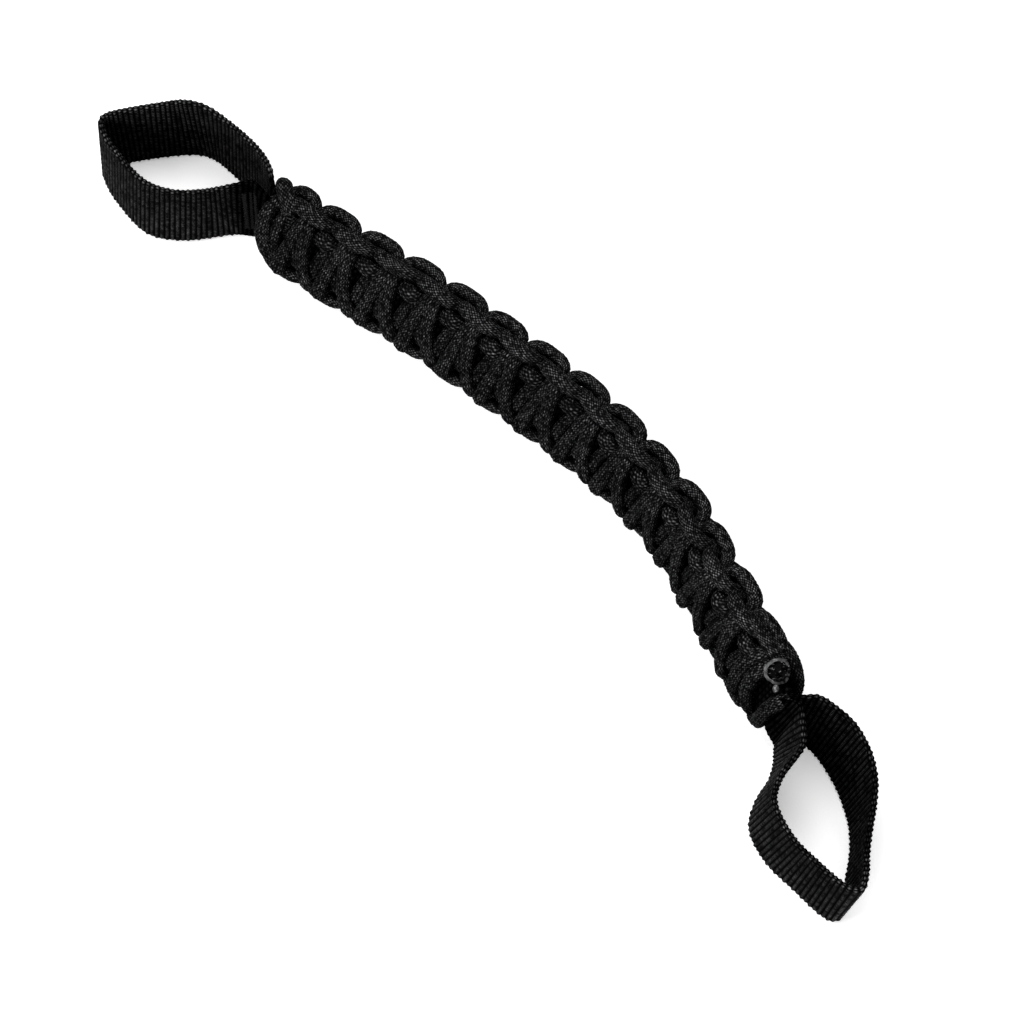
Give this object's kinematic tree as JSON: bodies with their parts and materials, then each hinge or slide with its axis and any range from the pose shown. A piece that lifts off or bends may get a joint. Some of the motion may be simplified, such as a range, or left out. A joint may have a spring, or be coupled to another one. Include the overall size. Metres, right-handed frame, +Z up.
{
  "type": "woven cord grab handle",
  "caption": "Strap handle of black cobra-knotted cord over a nylon webbing core, with a webbing loop at each end for hanging, pulling or clipping.",
  "frame": {"origin": "under the middle of the overall box, on the surface the handle rests on", "axes": "+X from the left loop's tip to the right loop's tip, +Y towards the outside of the grip's bend, +Z up along the webbing's width"},
  "size_m": [0.269, 0.05, 0.0256],
  "materials": {
    "loop_webbing": "ribbed nylon webbing, black, slight sheen along the ribs",
    "outer_cord": "braided nylon cord, black, satin, fine diamond braid",
    "inner_cord": "braided nylon cord, black, satin",
    "core_webbing": "nylon webbing folded lengthwise, black",
    "stitching": "black nylon thread, dense rows",
    "melted_cord": "melted nylon, black, glossy"
  },
  "bodies": {
    "grip_3": {"core_strap_3": "core_webbing", "inner_cord_near_3": "inner_cord", "inner_cord_far_3": "inner_cord", "outer_cord_near_3": "outer_cord", "outer_cord_far_3": "outer_cord"},
    "grip_2": {"core_strap_2": "core_webbing", "inner_cord_near_2": "inner_cord", "inner_cord_far_2": "inner_cord", "outer_cord_near_2": "outer_cord", "outer_cord_far_2": "outer_cord"},
    "grip_1": {"core_strap_1": "core_webbing", "inner_cord_near_1": "inner_cord", "inner_cord_far_1": "inner_cord", "outer_cord_near_1": "outer_cord", "outer_cord_far_1": "outer_cord", "start_bight": "outer_cord"},
    "grip_4": {"core_strap_4": "core_webbing", "inner_cord_near_4": "inner_cord", "inner_cord_far_4": "inner_cord", "outer_cord_near_4": "outer_cord", "outer_cord_far_4": "outer_cord"},
    "grip_5": {"core_strap_5": "core_webbing", "inner_cord_near_5": "inner_cord", "inner_cord_far_5": "inner_cord", "outer_cord_near_5": "outer_cord", "outer_cord_far_5": "outer_cord", "melted_end_near": "melted_cord", "melted_end_far": "melted_cord"},
    "left_loop": {"left_loop": "loop_webbing", "left_bar_tack": "stitching"},
    "right_loop": {"right_loop": "loop_webbing", "right_bar_tack": "stitching"}
  },
  "joints": [
    {"name": "bend_left_middle", "type": "hinge", "parent": "grip_3", "child": "grip_2", "pos_m": [-0.01887, 0.01418, 0.0119], "axis": [0, 0, 1], "range_deg": [-12, 12]},
    {"name": "bend_left_end", "type": "hinge", "parent": "grip_2", "child": "grip_1", "pos_m": [-0.0553, 0.00673, 0.0119], "axis": [0, 0, 1], "range_deg": [-12, 12]},
    {"name": "bend_right_middle", "type": "hinge", "parent": "grip_3", "child": "grip_4", "pos_m": [0.01821, 0.01659, 0.0119], "axis": [0, 0, 1], "range_deg": [-12, 12]},
    {"name": "bend_right_end", "type": "hinge", "parent": "grip_4", "child": "grip_5", "pos_m": [0.05495, 0.01134, 0.0119], "axis": [0, 0, 1], "range_deg": [-12, 12]},
    {"name": "left_loop_swing", "type": "hinge", "parent": "grip_1", "child": "left_loop", "pos_m": [-0.0942, 0.0002, 0.0127], "axis": [0, 0, 1], "range_deg": [-30, 30]},
    {"name": "right_loop_swing", "type": "hinge", "parent": "grip_5", "child": "right_loop", "pos_m": [0.0914, 0.0012, 0.0127], "axis": [0, 0, 1], "range_deg": [-30, 30]}
  ]
}
